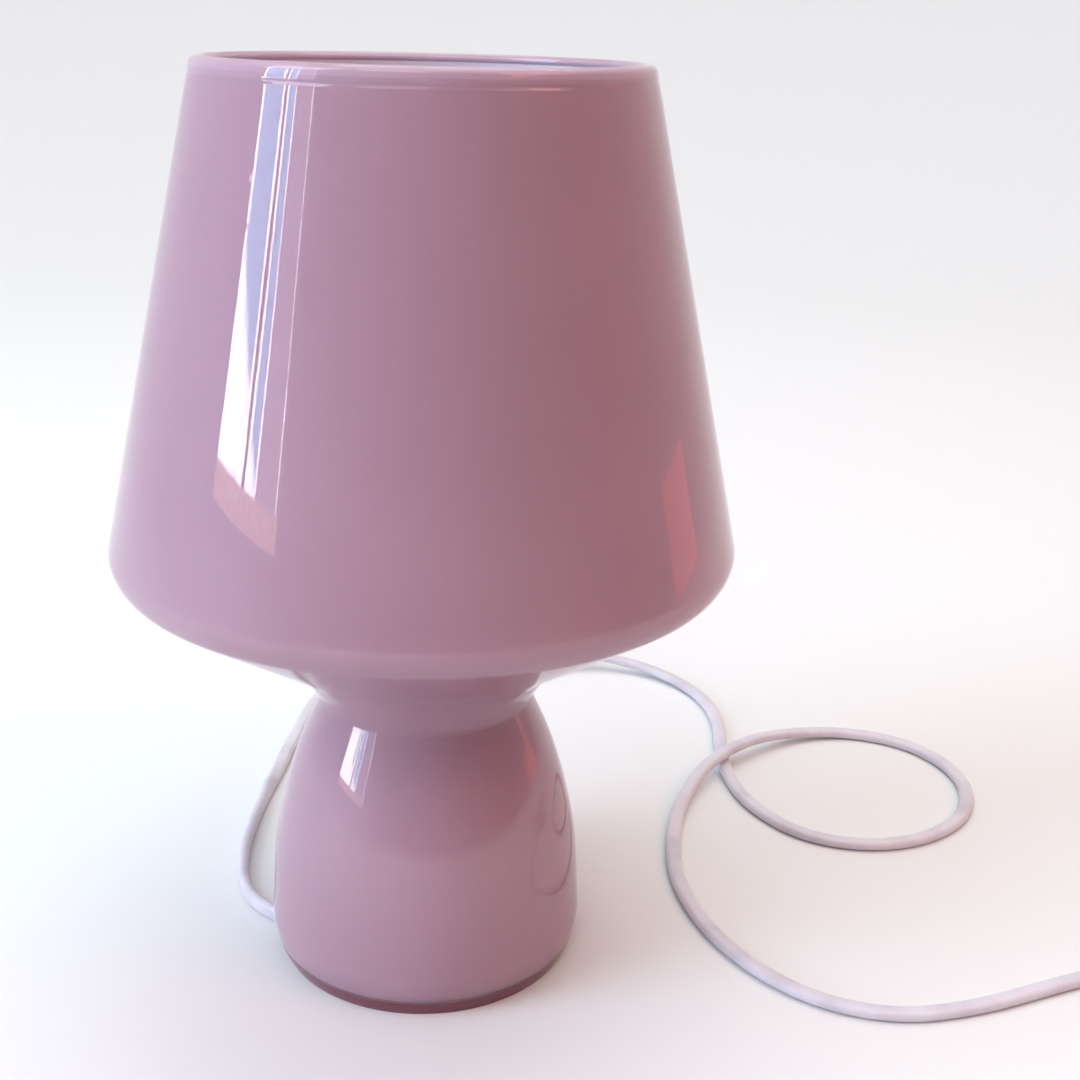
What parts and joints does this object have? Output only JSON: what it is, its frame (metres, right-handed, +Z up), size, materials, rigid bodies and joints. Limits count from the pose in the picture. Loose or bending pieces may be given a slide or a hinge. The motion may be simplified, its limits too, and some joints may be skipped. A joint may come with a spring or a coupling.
{
  "type": "mushroom table lamp",
  "caption": "Mushroom-shaped table lamp blown in cased glass, with shade and hollow base in one piece, a bulb, and a cord with a rocker switch and a plug.",
  "frame": {"origin": "centre of the base on the table", "axes": "+Z up along the axis of the glass, -Y towards the side shown in the picture, +X to its right"},
  "size_m": [0.4348, 0.3026, 0.27],
  "materials": {
    "pink_glass": "gloss, tinted casing",
    "opal_glass": "opal glass, pale pink",
    "frosted_glass": "frosted",
    "zinc_steel": "bright zinc plate",
    "nickel": "nickel plate, satin",
    "solder": "dull",
    "brass": "pressed, bright",
    "white_plastic": "moulded, semi-gloss",
    "white_cord": "soft PVC, satin"
  },
  "bodies": {
    "lamp": {"glass_casing": "pink_glass", "glass_lining": "opal_glass", "seat_dish": "zinc_steel", "clamp_bar": "zinc_steel", "lock_washer": "zinc_steel", "lower_nut": "zinc_steel", "upper_nut": "zinc_steel", "threaded_tube": "zinc_steel", "cord_grip": "white_plastic", "grip_screw": "zinc_steel", "holder_cap": "white_plastic", "holder_sleeve": "white_plastic", "holder_core": "white_plastic", "screw_shell": "brass", "centre_contact": "brass", "switch_lower": "white_plastic", "switch_upper": "white_plastic", "rocker_pin": "zinc_steel", "coil_tie": "white_cord", "plug_body": "white_plastic", "plug_relief": "white_cord", "switch_screw_west": "zinc_steel", "switch_screw_east": "zinc_steel", "plug_pin_west": "brass", "plug_pin_east": "brass", "cord_inner": "white_cord", "cord_lamp": "white_cord", "cord_loop": "white_cord", "cord_coil": "white_cord", "cord_tail": "white_cord"},
    "bulb_base": {"bulb_contact": "solder"},
    "bulb": {"bulb_cap": "nickel", "bulb_glass": "frosted_glass"},
    "rocker": {"rocker": "white_plastic"}
  },
  "joints": [
    {"name": "bulb_rise", "type": "slide", "parent": "lamp", "child": "bulb_base", "axis": [0, 0, 1], "range_m": [0, 0.0113]},
    {"name": "bulb_turn", "type": "hinge", "parent": "bulb_base", "child": "bulb", "pos_m": [0, 0, 0.12], "axis": [0, 0, 1], "range_deg": [0, 1440]},
    {"name": "rocker_tilt", "type": "hinge", "parent": "lamp", "child": "rocker", "pos_m": [0.027, 0.2, 0.011], "axis": [0, 1, 0], "range_deg": [0, 14]}
  ],
  "couplings": [
    {"joint": "bulb_rise", "follows": "bulb_turn", "m_per_rad": 0.0004491}
  ]
}
